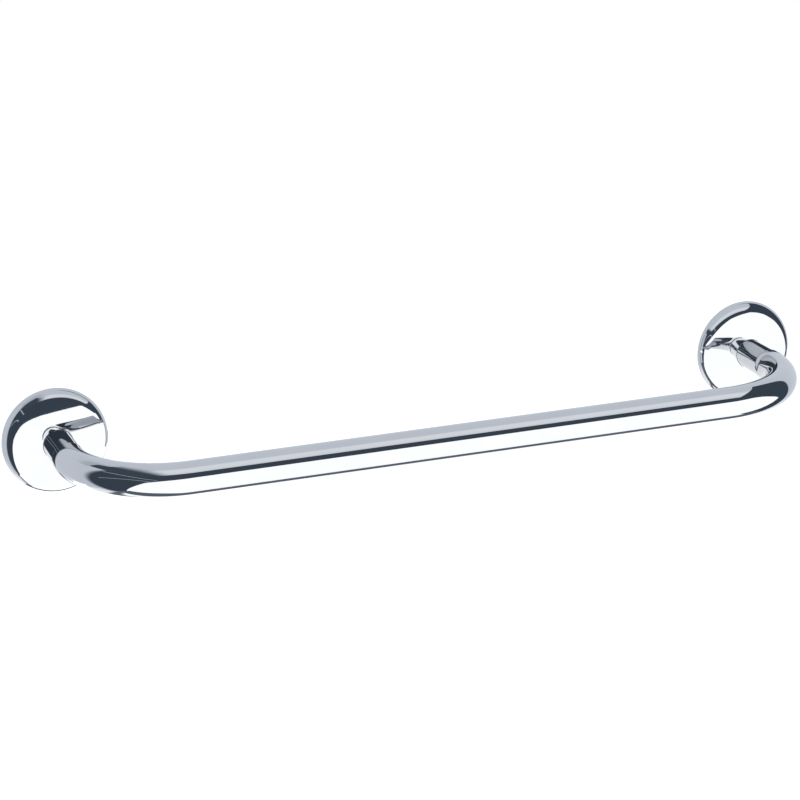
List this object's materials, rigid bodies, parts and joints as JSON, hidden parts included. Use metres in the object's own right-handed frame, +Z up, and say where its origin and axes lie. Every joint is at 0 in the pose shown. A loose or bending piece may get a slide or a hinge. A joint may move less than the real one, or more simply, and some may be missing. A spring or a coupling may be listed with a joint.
{
  "type": "towel rail",
  "caption": "Chromed wall towel rail: a round tube bent square at both ends, carried on turned posts in screwed wall plates that domed cover roses hide.",
  "frame": {"origin": "on the wall plane, midway between the two posts and level with their axes", "axes": "+X along the bar to the right as seen from the room, +Y into the wall, +Z up"},
  "size_m": [0.468, 0.097, 0.058],
  "materials": {
    "chrome": "bright polished chrome plate with a faint blue cast",
    "seal_rubber": "black rubber ring",
    "plated_steel": "zinc-plated steel, satin",
    "screw_steel": "plain steel set screw"
  },
  "bodies": {
    "root": {"rail_tube": "chrome", "left_post": "chrome", "right_post": "chrome", "left_rose": "chrome", "right_rose": "chrome", "left_seal": "seal_rubber", "right_seal": "seal_rubber", "left_wall_plate": "plated_steel", "right_wall_plate": "plated_steel", "grub_screws": "screw_steel"}
  },
  "joints": []
}
